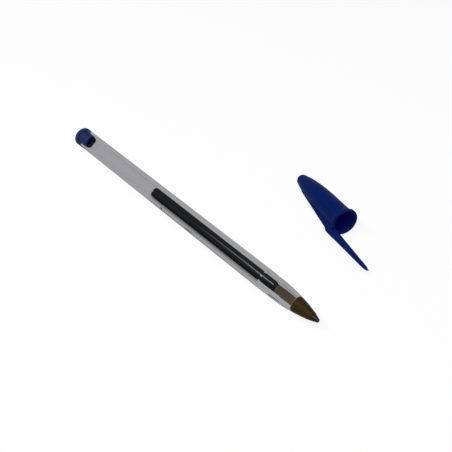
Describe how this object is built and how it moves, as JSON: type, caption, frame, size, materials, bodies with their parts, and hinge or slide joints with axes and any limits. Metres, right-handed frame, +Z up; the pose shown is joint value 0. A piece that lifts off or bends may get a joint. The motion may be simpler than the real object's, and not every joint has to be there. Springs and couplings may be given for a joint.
{
  "type": "ballpoint pen",
  "caption": "Clear hexagonal ballpoint pen with a dark ink tube, brown tip holder, brass point and end plug, lying beside its taken-off cap with a pocket clip.",
  "frame": {"origin": "on the flat of the barrel that the pen lies on, under the middle of the barrel's length", "axes": "+X along the barrel towards the point, +Z up from the table, +Y across the pen towards the cap that lies beside it"},
  "size_m": [0.1435, 0.0574, 0.011],
  "materials": {
    "clear_barrel": "clear moulded plastic, polished, lightly scuffed",
    "blue_plug": "blue moulded plastic, satin",
    "clear_tube": "milky translucent extruded tube",
    "ink": "thick dark ink, wet gloss",
    "brown_holder": "brown translucent moulded plastic, satin",
    "brass_point": "turned brass, fine turning marks",
    "hard_ball": "ground hard-metal ball, inked",
    "blue_cap": "blue moulded plastic, satin, darker inside"
  },
  "bodies": {
    "pen": {"barrel": "clear_barrel", "end_plug": "blue_plug", "ink_tube": "clear_tube", "ink_column": "ink", "tip_holder": "brown_holder", "point_socket": "brass_point"},
    "ball": {"ball": "hard_ball"},
    "cap": {"cap": "blue_cap"}
  },
  "joints": [
    {"name": "ball_roll", "type": "hinge", "parent": "pen", "child": "ball", "pos_m": [0.07615, 0, 0.0038], "axis": [0, 1, 0], "continuous": true},
    {"name": "cap_lift", "type": "slide", "parent": "pen", "child": "cap", "axis": [0, 0, 1], "range_m": [0, 0.03]}
  ]
}
